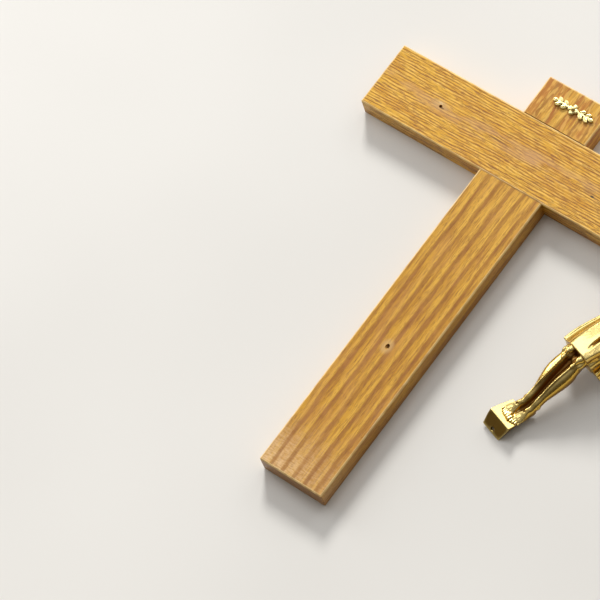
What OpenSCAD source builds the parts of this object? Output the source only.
// Wall cross of two oak boards with its cast brass figure lying loose beside it.
// The cross lies on its back: the back is the plane z = 0, the front looks up along +z,
// the top of the post points along +y, and the origin is at the middle of the crossing.

/* [Cross] */
// Width of the post and of the crossbar
board_w = 38; // [30:0.5:50]
// Thickness of both boards
board_t = 12; // [10:0.5:18]
// Reach of the post below the middle of the crossing
post_low = 204.5; // [180:0.5:260]
// Reach of the post above the middle of the crossing
post_high = 42.6; // [40:0.2:70]
// Length of the crossbar
bar_len = 188; // [170:1:240]
// Width of the narrow chamfer on every outer edge
arris = 0.6; // [0.3:0.1:1.2]
// Clearance at each side of the halved joint
lap_gap = 0.12; // [0.05:0.01:0.3]

/* [Nail holes] */
// Distance between the two hand holes
hand_spread = 113.4; // [108:0.2:124]
// Height of the hand holes over the middle of the crossing
hand_level = -0.4; // [-4:0.1:4]
// Drop from the hand holes to the foot hole
foot_drop = 122.3; // [120:0.1:128]
// Sideways place of the foot hole on the post
foot_side = -0.7; // [-3:0.1:3]
// Diameter of a hand hole
hand_hole_d = 1.8; // [1.2:0.1:2.4]
// Depth of a hand hole
hand_hole_depth = 7; // [4:0.5:9]
// Diameter of the foot hole
foot_hole_d = 2.2; // [1.4:0.1:2.6]
// Depth of the foot hole along its own slanting axis
foot_hole_depth = 9; // [5:0.5:12]
// Slant of the foot hole from the face of the post, in degrees
nail_slant = 43; // [35:1:60]

/* [Joint screws] */
// Shank diameter of the two screws that hold the halved joint
lap_screw_d = 3; // [2.5:0.1:3.5]
// Head diameter of these screws
lap_head_d = 5.6; // [5:0.1:7]
// Length of these screws
lap_screw_len = 9.5; // [8:0.25:9.75]
// Distance of these screws from both centre lines
lap_screw_out = 8.5; // [7:0.5:10]
// Depth of a screw head under the face that it is sunk in
head_sink = 0.2; // [0.1:0.05:0.4]
// Clearance round every shank, pin and inset plate
fit_gap = 0.05; // [0.03:0.01:0.1]

/* [Hanger] */
// Width of the keyhole plate
hanger_w = 30; // [27:0.5:34]
// Height of the keyhole plate
hanger_h = 17; // [15:0.5:18]
// Thickness of the keyhole plate
hanger_t = 1.2; // [0.8:0.1:1.8]
// Height of the plate's middle over the middle of the crossing
hanger_y = 28; // [28:0.5:32]
// Diameter of the round end of the keyhole
key_d = 8; // [7:0.25:9]
// Width of the keyhole's slot
key_slot_w = 4; // [3.5:0.1:5]
// Distance between the middles of the keyhole's two ends
key_rise = 6.5; // [5:0.25:7]
// Margin of the pocket round the keyhole
pocket_margin = 1.5; // [1:0.25:2]
// Depth of the pocket behind the plate
pocket_depth = 5; // [4.5:0.25:7]
// Distance of the plate's screws from the centre line
hanger_screw_out = 11.5; // [11:0.25:12]
// Shank diameter of the plate's screws
hanger_screw_d = 2.4; // [2:0.1:2.8]
// Head diameter of the plate's screws
hanger_head_d = 4.4; // [4:0.1:4.8]
// Length of the plate's screws
hanger_screw_len = 7; // [5:0.5:8]

/* [Ornament] */
// Width of the ornament at the top of the post
ornament_w = 25; // [22:0.5:30]
// Height of the ornament
ornament_h = 6.5; // [5:0.25:8]
// Thickness of the ornament
ornament_t = 1.7; // [1.2:0.1:2.5]
// Sideways place of the ornament's middle
ornament_x = 2.5; // [-3:0.5:3]
// Distance of the ornament's middle below the top of the post
ornament_down = 10.3; // [8:0.1:14]
// Turn of the ornament, in degrees
ornament_turn = -2; // [-5:0.5:5]
// Diameter of the two pins on its back
ornament_pin_d = 1.4; // [1:0.1:1.6]
// Length of these pins
ornament_pin_len = 4; // [3:0.25:5]

/* [Foot block] */
// Width of the block at its toe edge
block_w = 14.2; // [13.6:0.1:16]
// Width of the block at its back
block_back_w = 12; // [11:0.1:13]
// Height of the toe edge over the back
block_h = 7; // [6:0.25:7.5]
// Length of the block's back
block_len = 19; // [18:0.25:21]
// Distance of the toe edge from the lower edge of the back
block_toe = 6.8; // [5:0.1:8]
// Distance of the lower edge of the back below the foot nail
block_drop = 3.3; // [3:0.1:4]
// Shank diameter of the two screws that hold the feet on the block
block_screw_d = 1.4; // [1:0.1:1.6]
// Head diameter of these screws
block_head_d = 2.6; // [2.2:0.1:3]
// Length of these screws
block_screw_len = 5; // [4:0.25:5.5]

/* [Figure] */
// Height of the figure, as if it stood upright
figure_h = 120; // [116:0.5:124]
// Thickness of a hand at the palm
palm_t = 2.8; // [2.4:0.1:3.2]
// Diameter of the dowel in each shoulder
dowel_d = 2.4; // [2:0.1:3]
// Length of these dowels
dowel_len = 8; // [6:0.5:10]
// Clearance between an arm and the shoulder that it is set on
arm_gap = 0.06; // [0.04:0.01:0.15]
// Thickness of the crown of thorns
crown_t = 2.2; // [1.8:0.1:2.6]
// Clearance between the crown and its seat in the hair
crown_gap = 0.15; // [0.1:0.05:0.3]
// Forward bow of the head, in degrees
head_bow = 22; // [15:1:30]
// Lean of the head to one side, in degrees
head_lean = 16; // [8:1:24]

/* [Resting place] */
// Place of the figure's foot nail along x
rest_x = 65.6; // [64:0.1:70]
// Place of the figure's foot nail along y
rest_y = -126.3; // [-132:0.1:-125]
// Turn of the figure beside the post, in degrees
rest_turn = -17.3; // [-19:0.1:-16]
// Clearance where the hands touch the crossbar and the table
rest_gap = 0.3; // [0.2:0.05:0.6]

/* [Hidden] */
$fn = 48;
soft_fn = 16;
fine_fn = 10;
oak = "#C08A3E";
oak_dark = "#B67F38";
brass = "#D9AE4A";
steel = "#9A9A96";
// Overrun of every cut past the face that it opens
over = board_t / 12;

// The tables of the figure are written in 120ths of its height
unit_share = 1 / 120;
fu = figure_h * unit_share;

// Foot hole and hand holes on the cross
foot_y = hand_level - foot_drop;
lap_z = board_t / 2;

// Keyhole: its round end lies below the plate's middle and its slot rises above it
key_y = hanger_y - key_rise / 2;

// Slope of the block's upper face, from the toe edge to the back
slope_run = block_len - block_toe;
block_mid_share = 0.7;
block_screw_share = 0.55;
block_screw_v = block_toe - block_drop + slope_run * block_screw_share;

// Resting pose: the lower right corner of the block is on the table, the heel of the left hand
// lies on the crossbar and the knuckles of the right hand on the table
hand_half = 5 * fu;
slope_u = -board_t / hand_spread;
right_rise = rest_gap - slope_u * hand_half;
left_rise = board_t + right_rise;
corner_u = block_back_w / 2;
slope_v = ((left_rise + right_rise) / 2 + slope_u * corner_u) / (foot_drop + block_drop);
rest_h = -slope_u * corner_u + slope_v * block_drop;
rest_pitch = asin(slope_v);
rest_roll = asin(-slope_u / cos(rest_pitch));

// Rows of the torso: height, sideways middle, forward middle, half width, half depth
torso_shares = [
    [73, 2.6, 8.8, 9.6, 7.0], [78, 2.6, 8.6, 10.4, 7.4], [83, 2.1, 8.6, 9.0, 6.4],
    [87, 1.5, 8.8, 8.5, 6.2], [91, 0.9, 9.1, 9.4, 6.9], [96, 0.3, 9.6, 11.0, 7.9],
    [101, 0, 9.6, 12.2, 8.0], [105, -0.1, 9.2, 12.8, 6.9], [108.6, -0.3, 9.0, 10.6, 5.2],
    [111, -0.6, 9.3, 6.2, 4.4], [113.5, -0.9, 10.2, 3.9, 3.9], [117, -1.6, 11.6, 3.4, 3.6]
];
// Rows of the cloth round the hips, as above, with the depth of its folds at the end
cloth_shares = [
    [52, -0.2, 10.8, 10.8, 8.7, 0.5], [53, -0.2, 10.8, 11.1, 9.0, 0.6],
    [56, 0, 10.8, 10.8, 8.8, 0.6], [63, 1.1, 10.3, 11.0, 8.9, 0.5],
    [70, 2.1, 9.6, 11.3, 8.7, 0.4], [76, 2.6, 9.2, 11.5, 8.3, 0.4],
    [79.5, 2.6, 9.0, 11.9, 8.2, 0.3], [81.5, 2.6, 8.9, 11.6, 7.9, 0.2],
    [82.4, 2.5, 8.8, 10.4, 7.0, 0]
];
fold_count = 9;
fold_turn = 50;
// Rows of the free end of the cloth at the hip
tail_shares = [
    [52.5, 12.9, 7.0, 3.6, 2.2], [54, 12.9, 7.0, 4.3, 2.9], [59, 12.4, 7.2, 3.8, 2.8],
    [66, 12.4, 7.8, 3.3, 3.0], [73, 12.6, 8.8, 2.7, 2.8], [77, 12.6, 9.6, 2.9, 3.1],
    [80, 12.2, 9.8, 1.6, 2.0]
];
// Rows of a leg: height, middle of both legs, half the distance between them, forward middle,
// half width, half depth
leg_shares = [
    [17.6, 3.1, 2.7, 5.2, 2.4, 3.2], [21.5, 3.15, 2.6, 6.0, 2.3, 2.9],
    [26, 2.8, 2.6, 7.0, 2.5, 3.0], [31, 2.3, 3.0, 8.2, 3.2, 3.8],
    [37, 1.8, 3.6, 9.5, 3.8, 4.6], [42, 1.6, 3.8, 10.6, 3.8, 4.5],
    [46.5, 1.4, 3.7, 12.0, 3.4, 4.1], [50.5, 1.25, 3.6, 13.3, 3.6, 4.3],
    [55, 1.4, 3.9, 13.0, 4.2, 4.7], [63, 2.0, 4.8, 11.4, 5.0, 5.6],
    [72, 2.6, 5.4, 9.8, 5.4, 6.2]
];
// Rows of an arm: share of the way from shoulder to wrist, sag of the middle, forward middle,
// half height, half depth
arm_shares = [
    [-0.04, 0.6, 9.2, 4.9, 4.7], [0.07, 0.5, 9.3, 4.9, 4.6], [0.19, 0.5, 8.9, 4.0, 4.0],
    [0.35, 0.7, 8.1, 3.6, 3.7], [0.49, 1.2, 7.3, 2.9, 3.0], [0.61, 1.6, 6.7, 3.1, 3.1],
    [0.76, 1.3, 5.6, 2.7, 2.6], [0.92, 0.7, 3.9, 2.0, 1.8], [1, 0.4, 2.9, 2.2, 1.6]
];
// Middle of the shoulder's seat, the seat's lower end, and the wrist's way back from the nail
shoulder_u = 11.2 * fu;
shoulder_v = 105 * fu;
shoulder_w = 9.2 * fu;
seat_low_v = 97 * fu;
wrist_back = 5.8 * fu;

// Palm: place along and across the hand, lift as a share of half the palm's thickness, flatness
palm_shares = [
    [3.2, 1.9, 1, 0.9], [3.2, -1.9, 1, 0.9], [-2.4, 1.5, 1, 1], [-2.4, -1.5, 1, 1],
    [-5.6, -0.4, 1.2, 1]
];
// Fingers: start and end along and across the hand, lift of the tip, and radius
finger_shares = [
    [3.0, 2.0, 8.0, 2.3, 1.0, 0.62], [3.3, 0.7, 9.0, 0.8, 1.3, 0.66],
    [3.1, -0.7, 8.4, -0.8, 1.2, 0.64], [2.7, -1.9, 7.0, -2.3, 1.0, 0.56],
    [0.2, 2.2, 4.2, 4.4, 1.2, 0.7]
];

// Back of a foot: share of the way from the ankle to the foot's middle, height, forward place,
// radius
heel_shares = [[0, 18.2, 3.0, 2.4], [0, 20.5, 5.6, 2.5], [0.5, 15.2, 5.4, 2.5]];
// Ball of a foot: sideways place, lift over the slope, radius
ball_shares = [[-1.2, 1.2, 1.5], [1.2, 1.3, 1.6]];
// Toes of the left foot: sideways place and height of the tip over the toe edge's level, radius
toe_shares = [
    [-2.4, 1.7, 0.62], [-1.25, 0.8, 0.66], [-0.1, 0.3, 0.7], [1.1, 0.1, 0.74], [2.5, 0.2, 0.98]
];
// Height of the toes' roots and of the toe edge's level, and lift of a root over the slope
toe_root_share = 10.6;
toe_level_share = 7;
root_lift_share = 1.2;
// How close the roots are gathered, how low a toe sits, and how far each foot fans out
gather_share = 0.8;
toe_sit_share = 0.9;
fan_shares = [0.05, -0.05];
foot_mid_u = [-1.5 * fu, 4.7 * fu];
// Pit of the missing nail in each instep
pit_v = 15.2 * fu;
pit_w = 6.4 * fu;

// Balls of the head in groups that are joined: sideways place, height, forward place, radius
head_shares = [
    [[0, 1.6, -0.9, 5.3], [0, 1.8, 1.2, 4.9], [0, -3.4, 1.6, 3.2]],
    [[0, 0.6, 5.2, 0.7], [0, -1.6, 6.3, 0.8]],
    [[0, -3.9, 5.1, 0.8]],
    [[0, -4.3, 2.2, 3.2], [0, -6.4, 3.3, 2.2], [-0.7, -8.2, 3.9, 0.9], [0.7, -8.2, 3.9, 0.9]],
    [[0, 1.9, -2.4, 4.4], [0, -4.6, -3.0, 3.8]]
];
// The same for what each half of the head has: cheek, nostril, brow, moustache and locks
half_head_shares = [
    [[1.9, 0.4, 4.3, 1.15]],
    [[0.75, -1.8, 5.7, 0.7]],
    [[0.6, 1.6, 5.5, 0.75], [3.1, 1.5, 4.4, 0.8]],
    [[0.2, -2.8, 5.4, 0.6], [1.8, -3.6, 4.6, 0.7]],
    [[4.4, 1.4, -0.6, 2.3], [4.9, -4.0, -1.2, 2.1], [4.6, -8.4, -2.6, 1.5]]
];
// Radius from which a ball of the figure is drawn with the finer facets
soft_share = 1.3;
head_u = -2.2 * fu;
head_v = 118.6 * fu;
head_w = 13.6 * fu;

// Crown of thorns: radius of the ring, its height on the head and its tip, and its strands
crown_r = 5.9 * fu;
crown_up = 2.3 * fu;
crown_tip = 8;
strand_count = 3;
strand_turns = 3;
lobe_share = 0.22;
thorn_count = 14;
thorn_turns = [82, 128];
thorn_share = 0.9;

// Facets of the torso, the cloth, the crown's seat, its plait and its thorns
torso_fn = 24;
cloth_fn = 40;
ring_fn = 32;
crown_steps = 60;
plait_fn = 15;
thorn_fn = 6;

// A value on the smooth curve through four neighbouring rows
function between(a, b, c, d, t) =
    b + (c - a) * t / 2 + (2 * a - 5 * b + 4 * c - d) * t * t / 2
    + (3 * b - a - 3 * c + d) * t * t * t / 2;

// Rows with steps - 1 smooth rows added between each pair
function fine_rows(rows, steps) = [
    for (i = [0 : len(rows) - 2]) for (s = [0 : steps - 1])
        between(rows[max(i - 1, 0)], rows[i], rows[i + 1], rows[min(i + 2, len(rows) - 1)],
            s / steps),
    rows[len(rows) - 1]
];

// An oval of n points round a middle, spanned by the vectors side and front
function oval(middle, side, front, n) = [
    for (i = [0 : n - 1]) middle + side * cos(360 * i / n) + front * sin(360 * i / n)
];

// Rings of a form that rises along the body from rows of height, place and half sizes
function body_rings(rows, n) = [
    for (r = rows) oval([r[1], r[0], r[2]] * fu, [-r[3] * fu, 0, 0], [0, 0, r[4] * fu], n)
];

// Triangles of the side between rings, for n points a ring, from ring i to ring k
function side_faces(i, k, n) = [
    for (j = [0 : n - 1]) let (next = (j + 1) % n) each [
        [k * n + j, k * n + next, i * n + next],
        [k * n + j, i * n + next, i * n + j]
    ]
];

// Closed solid over rings that all hold the same number of points
module skin(rings) {
    n = len(rings[0]);
    last = len(rings) - 1;
    polyhedron(
        points = [for (ring = rings) each ring],
        faces = [
            for (i = [0 : last - 1]) each side_faces(i, i + 1, n),
            [for (j = [0 : n - 1]) j],
            [for (j = [n - 1 : -1 : 0]) last * n + j]
        ]
    );
}

// Closed loop over rings, where the last ring joins the first
module loop_skin(rings) {
    n = len(rings[0]);
    m = len(rings);
    polyhedron(
        points = [for (ring = rings) each ring],
        faces = [for (i = [0 : m - 1]) each side_faces(i, (i + 1) % m, n)]
    );
}

// Rectangle with its corners cut off at 45 degrees, from its lower left corner
module cut_rectangle(size, cut) {
    polygon([
        [cut, 0], [size[0] - cut, 0], [size[0], cut], [size[0], size[1] - cut],
        [size[0] - cut, size[1]], [cut, size[1]], [0, size[1] - cut], [0, cut]
    ]);
}

// Board with all its edges chamfered, from its lower left back corner
module board(size) {
    intersection() {
        linear_extrude(size[2]) cut_rectangle([size[0], size[1]], arris);
        translate([0, size[1], 0]) rotate([90, 0, 0])
            linear_extrude(size[1]) cut_rectangle([size[0], size[2]], arris);
        rotate([90, 0, 90]) linear_extrude(size[0]) cut_rectangle([size[1], size[2]], arris);
    }
}

// Countersunk screw along +z with its head's flat at z = 0 and a slot for the driver
module sunk_screw(d, head_d, length, grow) {
    cone = (head_d - d) / 2;
    difference() {
        rotate_extrude() polygon([
            [0, -grow], [head_d / 2 + grow, -grow], [head_d / 2 + grow, 0], [d / 2 + grow, cone],
            [d / 2 + grow, length - d], [grow, length + grow], [0, length + grow]
        ]);
        if (grow == 0) {
            translate([-head_d, -d / 8, -cone]) cube([2 * head_d, d / 4, cone + d / 4]);
        }
    }
}

// Room that a sunk screw takes in the pieces it goes through, open at its head
module screw_room(d, head_d, length) {
    sunk_screw(d, head_d, length, fit_gap);
    translate([0, 0, -over]) cylinder(h = over, d = head_d + 2 * fit_gap);
}

// Places of the two screws of the halved joint, and of the two that hold the plate
module at_lap_screws() {
    for (s = [-1, 1]) translate([s * lap_screw_out, -s * lap_screw_out, head_sink]) children();
}

module at_hanger_screws() {
    for (s = [-1, 1]) translate([s * hanger_screw_out, hanger_y, head_sink]) children();
}

// Two round ends of the keyhole, joined, grown by a margin
module key_outline(round_d, slot_w) {
    translate([0, key_y]) circle(d = round_d);
    translate([0, key_y + key_rise]) circle(d = slot_w);
    translate([-slot_w / 2, key_y]) square([slot_w, key_rise]);
}

// Slanting hole of the foot nail, with its middle on the face at the origin
module nail_hole(inner, outer) {
    rotate([90 - nail_slant, 0, 0])
        translate([0, 0, -inner]) cylinder(h = inner + outer, d = foot_hole_d);
}

module upright_post() {
    color(oak_dark) difference() {
        translate([-board_w / 2, -post_low, 0]) board([board_w, post_low + post_high, board_t]);
        translate([-board_w / 2 - over, -board_w / 2 - lap_gap, lap_z])
            cube([board_w + 2 * over, board_w + 2 * lap_gap, lap_z + over]);
        translate([foot_side, foot_y, board_t]) nail_hole(foot_hole_depth, foot_hole_d);
        at_lap_screws() screw_room(lap_screw_d, lap_head_d, lap_screw_len);
        translate([-hanger_w / 2 - fit_gap, hanger_y - hanger_h / 2 - fit_gap, -over])
            cube([hanger_w + 2 * fit_gap, hanger_h + 2 * fit_gap, over + hanger_t]);
        linear_extrude(hanger_t + pocket_depth)
            key_outline(key_d + 2 * pocket_margin, key_slot_w + 4 * pocket_margin);
        at_hanger_screws() screw_room(hanger_screw_d, hanger_head_d, hanger_screw_len);
        at_ornament() at_ornament_pins()
            translate([0, 0, -ornament_pin_len - fit_gap])
                cylinder(h = ornament_pin_len + over, d = ornament_pin_d + 2 * fit_gap);
    }
}

module crossbar() {
    color(oak) difference() {
        translate([-bar_len / 2, -board_w / 2, 0]) board([bar_len, board_w, board_t]);
        translate([-board_w / 2 - lap_gap, -board_w / 2 - over, -over])
            cube([board_w + 2 * lap_gap, board_w + 2 * over, lap_z + over]);
        for (s = [-1, 1]) translate([s * hand_spread / 2, hand_level, board_t - hand_hole_depth])
            cylinder(h = hand_hole_depth + over, d = hand_hole_d);
        at_lap_screws() screw_room(lap_screw_d, lap_head_d, lap_screw_len);
    }
}

module lap_screws() {
    color(steel) at_lap_screws() sunk_screw(lap_screw_d, lap_head_d, lap_screw_len, 0);
}

module hanger_plate() {
    color(brass) difference() {
        translate([-hanger_w / 2, hanger_y - hanger_h / 2, 0]) linear_extrude(hanger_t)
            cut_rectangle([hanger_w, hanger_h], hanger_t);
        translate([0, 0, -over]) linear_extrude(hanger_t + 2 * over)
            key_outline(key_d, key_slot_w);
        at_hanger_screws() screw_room(hanger_screw_d, hanger_head_d, hanger_screw_len);
    }
}

module hanger_screws() {
    color(steel) at_hanger_screws()
        sunk_screw(hanger_screw_d, hanger_head_d, hanger_screw_len, 0);
}

// Shares of the ornament: the rosette's petals, its boss, the stem and the leaves
petal_share = 0.23;
boss_share = 0.2;
stem_share = 0.15;
leaf_width_share = 0.42;
leaf_turn = 38;
leaf_count = 3;
rosette_r = ornament_h / 2;
petal_r = ornament_h * petal_share;
sprig_len = ornament_w / 2 - rosette_r;
leaf_len = sprig_len / (leaf_count - 1 / 4);

module at_ornament() {
    translate([ornament_x, post_high - ornament_down, board_t]) rotate([0, 0, ornament_turn])
        children();
}

module at_ornament_pins() {
    for (s = [-1, 1]) translate([s * (rosette_r + leaf_len / 2), 0, 0]) children();
}

// Pointed leaf along +x from the origin
module leaf(length, width) {
    r = (length * length + width * width) / (4 * width);
    intersection() {
        translate([length / 2, r - width / 2]) circle(r);
        translate([length / 2, width / 2 - r]) circle(r);
    }
}

// One side of the ornament: a stem with pairs of leaves and a leaf at its end
module sprig() {
    stem_h = ornament_h * stem_share;
    translate([0, -stem_h / 2]) square([ornament_w / 2 - leaf_len / 2, stem_h]);
    for (i = [1 : leaf_count - 1]) for (s = [-1, 1])
        translate([rosette_r + leaf_len * (i - 1 + 1 / 8), 0]) rotate(s * leaf_turn)
            leaf(leaf_len, leaf_len * leaf_width_share);
    translate([ornament_w / 2 - leaf_len, 0]) leaf(leaf_len, leaf_len * leaf_width_share);
}

module titulus_ornament() {
    color(brass) at_ornament() {
        linear_extrude(ornament_t) {
            for (a = [0 : 90 : 270]) rotate(a) translate([rosette_r - petal_r, 0])
                circle(petal_r);
            circle(petal_r);
            sprig();
            rotate(180) sprig();
        }
        translate([0, 0, ornament_t]) sphere(ornament_h * boss_share);
        at_ornament_pins() translate([0, 0, -ornament_pin_len])
            cylinder(h = ornament_pin_len + ornament_t / 2, d = ornament_pin_d);
    }
}

// Places the figure, built with its back on z = 0 and its foot nail at the origin, at rest
module at_rest() {
    translate([rest_x, rest_y, rest_h]) rotate([0, 0, rest_turn]) rotate([rest_pitch, 0, 0])
        rotate([0, rest_roll, 0]) children();
}

// Side outline of the block, with the height along x and the way off the back along y
module block_outline(grow) {
    low = -block_drop;
    polygon([
        [low, -grow], [low + block_toe, block_h],
        [low + block_toe + grow, block_h + grow / 2], [low + block_len + 2 * grow, -grow]
    ]);
}

// The block's wedge, wider than the block when it is cut from the feet
module wedge(width, grow) {
    translate([width / 2, 0, 0]) rotate([90, 0, -90]) mirror([1, 0, 0])
        linear_extrude(width) block_outline(grow);
}

module at_block_screws() {
    for (u = foot_mid_u) translate([u, block_screw_v, head_sink]) children();
}

module foot_block() {
    color(brass) at_rest() difference() {
        intersection() {
            wedge(block_w, 0);
            translate([0, block_len, 0]) rotate([90, 0, 0]) linear_extrude(2 * block_len)
                polygon([
                    [-block_back_w / 2, 0], [block_back_w / 2, 0],
                    [block_w / 2, block_h * block_mid_share], [block_w / 2, block_h],
                    [-block_w / 2, block_h], [-block_w / 2, block_h * block_mid_share]
                ]);
        }
        nail_hole(over, block_h);
        at_block_screws() screw_room(block_screw_d, block_head_d, block_screw_len);
    }
}

module foot_block_screws() {
    color(steel) at_rest() at_block_screws()
        sunk_screw(block_screw_d, block_head_d, block_screw_len, 0);
}

// Ball of the figure, with its place and its radius in the figure's 120ths
module ball(place, r, n = fine_fn) {
    translate(place * fu) sphere(r * fu, $fn = n);
}

// Groups of balls, each group joined, mirrored where side is -1
module joined_balls(groups, side) {
    for (group = groups) hull() {
        for (b = group)
            ball([side * b[0], b[1], b[2]], b[3], b[3] > soft_share ? soft_fn : fine_fn);
    }
}

// Height over the back of the block's slope at height v, both in the figure's 120ths
function slope_at(v) = block_h / fu * (1 - (v * fu + block_drop - block_toe) / slope_run);

// One foot: side is -1 for the viewer's left
module foot(side) {
    i = side < 0 ? 0 : 1;
    ankle = leg_shares[0][1] + side * leg_shares[0][2];
    mid = foot_mid_u[i] / fu;
    root_w = slope_at(toe_root_share);
    hull() {
        for (h = heel_shares) ball([ankle + (mid - ankle) * h[0], h[1], h[2]], h[3]);
        for (b = ball_shares) ball([mid + b[0], toe_root_share, root_w + b[1]], b[2]);
    }
    for (t = toe_shares) {
        tip_v = toe_level_share + t[1] + fan_shares[i] * t[0];
        hull() {
            ball([mid - side * t[0] * gather_share, toe_root_share, root_w + root_lift_share], t[2]);
            ball([mid - side * t[0], tip_v, slope_at(tip_v) + t[2] * toe_sit_share], t[2]);
        }
    }
}

// One leg, cut at its ends inside the foot and the cloth
module leg(side) {
    rows = fine_rows(leg_shares, 2);
    skin([
        for (r = rows) oval([r[1] + side * r[2], r[0], r[3]] * fu,
            [-r[4] * fu, 0, 0], [0, 0, r[5] * fu], soft_fn)
    ]);
}

// Cloth round the hips, with folds that turn as they rise
module cloth() {
    rows = fine_rows(cloth_shares, 2);
    skin([
        for (r = rows) [
            for (i = [0 : cloth_fn - 1]) let (
                a = 360 * i / cloth_fn,
                rise = (r[0] - rows[0][0]) / (rows[len(rows) - 1][0] - rows[0][0]),
                fold = r[5] * sin(fold_count * a + fold_turn * rise)
            ) [
                r[1] - (r[3] + fold) * cos(a), r[0], r[2] + (r[4] + fold) * sin(a)
            ] * fu
        ]
    ]);
    skin(body_rings(fine_rows(tail_shares, 2), soft_fn));
}

module at_head() {
    translate([head_u, head_v, head_w]) rotate([0, 0, head_lean]) rotate([head_bow, 0, 0])
        children();
}

// Head with hair and beard, about its own middle: +y up, +z the way the face looks
module head() {
    joined_balls(head_shares, 1);
    for (s = [-1, 1]) joined_balls(half_head_shares, s);
}

// Round seat that the crown fills with a small clearance
module crown_room() {
    translate([0, crown_up, 0]) rotate([90 - crown_tip, 0, 0])
        rotate_extrude($fn = ring_fn) translate([crown_r, 0])
            circle(d = crown_t + 2 * crown_gap, $fn = fine_fn);
}

// Shoulder dowels, or the holes that they fill when grow is their clearance
module at_shoulders(grow) {
    for (s = [-1, 1]) translate([s * shoulder_u, shoulder_v, shoulder_w]) rotate([0, 90, 0])
        cylinder(h = dowel_len + 2 * grow, d = dowel_d + 2 * grow, center = true);
}

module corpus_body() {
    reach = figure_h;
    color(brass) at_rest() difference() {
        union() {
            skin(body_rings(fine_rows(torso_shares, 2), torso_fn));
            cloth();
            for (s = [-1, 1]) {
                leg(s);
                foot(s);
            }
            at_head() head();
        }
        for (s = [-1, 1]) translate([s * (shoulder_u + reach / 2), shoulder_v, reach / 2])
            cube([reach, 2 * (shoulder_v - seat_low_v), reach], center = true);
        translate([-reach / 2, -reach / 2, -reach]) cube([reach, 2 * reach, reach]);
        wedge(2 * block_w, fit_gap);
        at_block_screws() screw_room(block_screw_d, block_head_d, block_screw_len);
        for (u = foot_mid_u) translate([u, pit_v, pit_w])
            cylinder(h = reach, d = foot_hole_d / 2, $fn = fine_fn);
        at_shoulders(fit_gap);
        at_head() crown_room();
    }
}

// Plaited ring of the crown: a round tube whose outline has a lobe for each strand, which
// wind round the ring together
module plait() {
    lobe_r = crown_t / 2 / (1 + lobe_share);
    loop_skin([
        for (i = [0 : crown_steps - 1]) let (
            a = 360 * i / crown_steps,
            out = [cos(a), sin(a), 0],
            turn = strand_turns * a
        ) [
            for (j = [0 : plait_fn - 1]) let (
                b = 360 * j / plait_fn,
                r = lobe_r * (1 + lobe_share * cos(strand_count * (b - turn)))
            ) out * (crown_r - r * cos(b)) + [0, 0, r * sin(b)]
        ]
    ]);
}

module crown_of_thorns() {
    color(brass) at_rest() at_head() translate([0, crown_up, 0]) rotate([90 - crown_tip, 0, 0]) {
        plait();
        for (i = [0 : thorn_count - 1]) rotate([0, 0, 360 * (i + 1 / 2) / thorn_count])
            translate([crown_r + crown_t / 4, 0, 0]) rotate([0, thorn_turns[i % 2], 0])
                hull() {
                    sphere(crown_t / 6, $fn = thorn_fn);
                    translate([0, 0, crown_t * thorn_share]) sphere(crown_t / 16, $fn = thorn_fn);
                }
    }
}

// The viewer's right arm, with its flat on the shoulder and its palm to the front
module arm() {
    reach = figure_h;
    way = [hand_spread / 2 - shoulder_u, foot_drop - shoulder_v];
    lean = atan2(way[1], way[0]);
    wrist_u = way[0] - wrist_back * cos(lean);
    wrist_v = way[1] - wrist_back * sin(lean);
    difference() {
        union() {
            skin([
                for (r = fine_rows(arm_shares, 2)) oval(
                    [shoulder_u + wrist_u * r[0], shoulder_v + wrist_v * r[0] - r[1] * fu, r[2] * fu],
                    [0, r[3] * fu, 0], [0, 0, r[4] * fu], soft_fn)
            ]);
            translate([hand_spread / 2, foot_drop, 0]) rotate([0, 0, lean]) hand();
        }
        translate([shoulder_u + arm_gap - reach, 0, -reach / 2])
            cube([reach, 2 * reach, reach]);
        translate([0, 0, -reach]) cube([reach, 2 * reach, reach]);
        at_shoulders(fit_gap);
        translate([hand_spread / 2, foot_drop, -over])
            cylinder(h = reach, d = hand_hole_d, $fn = 2 * fine_fn);
    }
}

// Hand with its palm over the nail hole at the origin and its fingers along +x
module hand() {
    half = palm_t / 2;
    hull() {
        for (p = palm_shares) translate([p[0] * fu, p[1] * fu, p[2] * half])
            scale([1, 1, p[3]]) sphere(half, $fn = fine_fn);
    }
    for (f = finger_shares) {
        bend = [(f[0] + f[2]) / 2 * fu, (f[1] + f[3]) / 2 * fu, half + f[4] * fu / 4];
        root = [f[0] * fu, f[1] * fu, half];
        tip = [f[2] * fu, f[3] * fu, half + f[4] * fu];
        finger_part(root, bend, f[5] * fu);
        finger_part(bend, tip, f[5] * fu);
    }
}

module finger_part(from, to, r) {
    hull() {
        translate(from) sphere(r, $fn = fine_fn);
        translate(to) sphere(r, $fn = fine_fn);
    }
}

module arm_right() {
    color(brass) at_rest() arm();
}

module arm_left() {
    color(brass) at_rest() mirror([1, 0, 0]) arm();
}

module shoulder_dowels() {
    color(steel) at_rest() at_shoulders(0);
}

upright_post();
crossbar();
lap_screws();
hanger_plate();
hanger_screws();
titulus_ornament();
corpus_body();
crown_of_thorns();
arm_left();
arm_right();
shoulder_dowels();
foot_block();
foot_block_screws();
